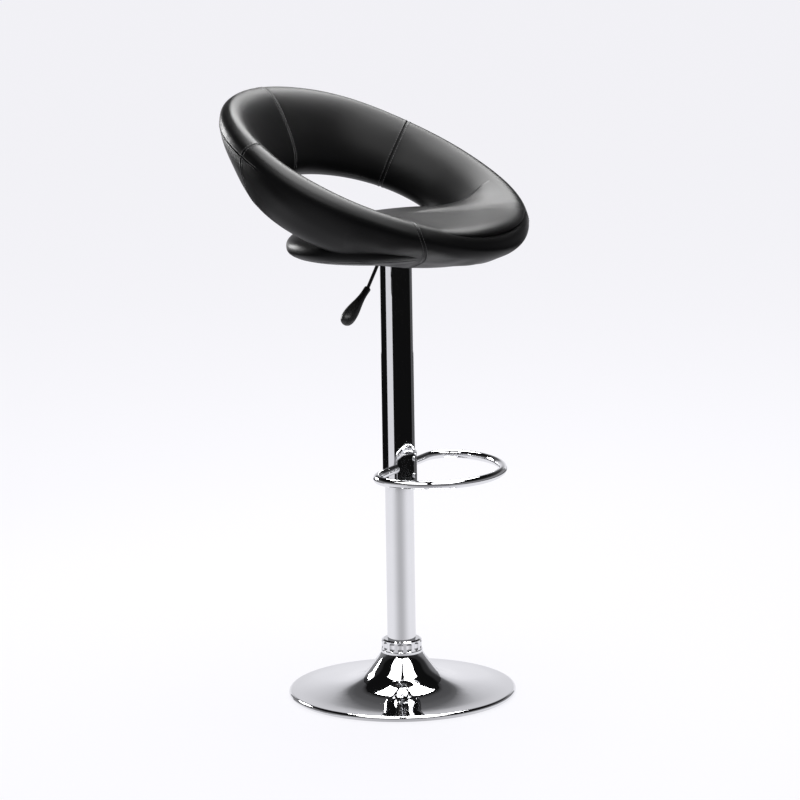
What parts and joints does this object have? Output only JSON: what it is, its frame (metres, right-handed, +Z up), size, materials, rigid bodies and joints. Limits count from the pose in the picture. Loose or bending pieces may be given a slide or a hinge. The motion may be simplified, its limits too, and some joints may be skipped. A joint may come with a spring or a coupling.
{
  "type": "bar stool",
  "caption": "Height-adjustable swivel bar stool with a round pad, a tilted ring back, a side lever, a D-shaped footrest and a trumpet base.",
  "frame": {"origin": "on the floor, on the column's axis, at the centre of the base", "axes": "+Z up along the column, -Y the way the sitter faces, +X to the sitter's left; the seat is at the top of its travel"},
  "size_m": [0.5156, 0.5321, 1.0573],
  "materials": {
    "chrome": "polished chrome plate",
    "black_leather": "soft satin",
    "cast_iron": "raw",
    "black_rubber": "matt",
    "black_plastic": "fine texture",
    "grip_plastic": "satin gloss",
    "white_plastic": "smooth",
    "zinc_steel": "zinc plated",
    "black_steel": "black powder coat",
    "bearing_steel": "ground",
    "plywood": "raw birch ply"
  },
  "bodies": {
    "base": {"base_dish": "chrome", "base_weight": "cast_iron", "floor_ring": "black_rubber", "base_cover": "black_plastic", "column_flange": "black_steel", "flange_bolts": "zinc_steel", "flange_nuts": "zinc_steel", "lower_tube": "chrome", "base_collar": "chrome", "guide_bush": "white_plastic", "rod_seat": "zinc_steel", "lower_washer": "bearing_steel"},
    "piston_rod_body": {"piston_rod": "bearing_steel", "piston": "bearing_steel", "piston_seal": "black_rubber", "upper_washer": "bearing_steel", "bearing_balls": "bearing_steel", "bearing_cage": "white_plastic", "retaining_washer": "zinc_steel", "rod_clip": "zinc_steel"},
    "seat": {"gas_cylinder": "black_steel", "rod_guide": "black_plastic", "upper_sleeve": "chrome", "glide_ring": "black_plastic", "sleeve_cap": "black_plastic", "footrest_saddle": "chrome", "footrest_hoop": "chrome", "saddle_screws": "chrome", "seat_plate": "black_steel", "plate_screws": "zinc_steel", "tee_nuts": "zinc_steel", "seat_board": "plywood", "ring_frame": "black_steel", "ring_struts": "black_steel", "seat_pad": "black_leather", "back_ring": "black_leather", "lever_pin": "zinc_steel"},
    "lever": {"lever_rod": "black_steel", "lever_grip": "grip_plastic"},
    "valve": {"valve_pin": "bearing_steel"}
  },
  "joints": [
    {"name": "seat_swivel", "type": "hinge", "parent": "base", "child": "piston_rod_body", "pos_m": [0, 0, 0.038], "axis": [0, 0, 1], "continuous": true},
    {"name": "height_lift", "type": "slide", "parent": "piston_rod_body", "child": "seat", "axis": [0, 0, 1], "range_m": [-0.21, 0]},
    {"name": "lever_lift", "type": "hinge", "parent": "seat", "child": "lever", "pos_m": [-0.026, 0, 0.7815], "axis": [0, 1, 0], "range_deg": [0, 6], "stiffness_Nm_per_rad": 4, "springref_deg": -5.73},
    {"name": "valve_press", "type": "slide", "parent": "seat", "child": "valve", "axis": [0, 0, -1], "range_m": [0, 0.003]}
  ],
  "couplings": [
    {"joint": "valve_press", "follows": "lever_lift", "m_per_rad": 0.0275}
  ]
}
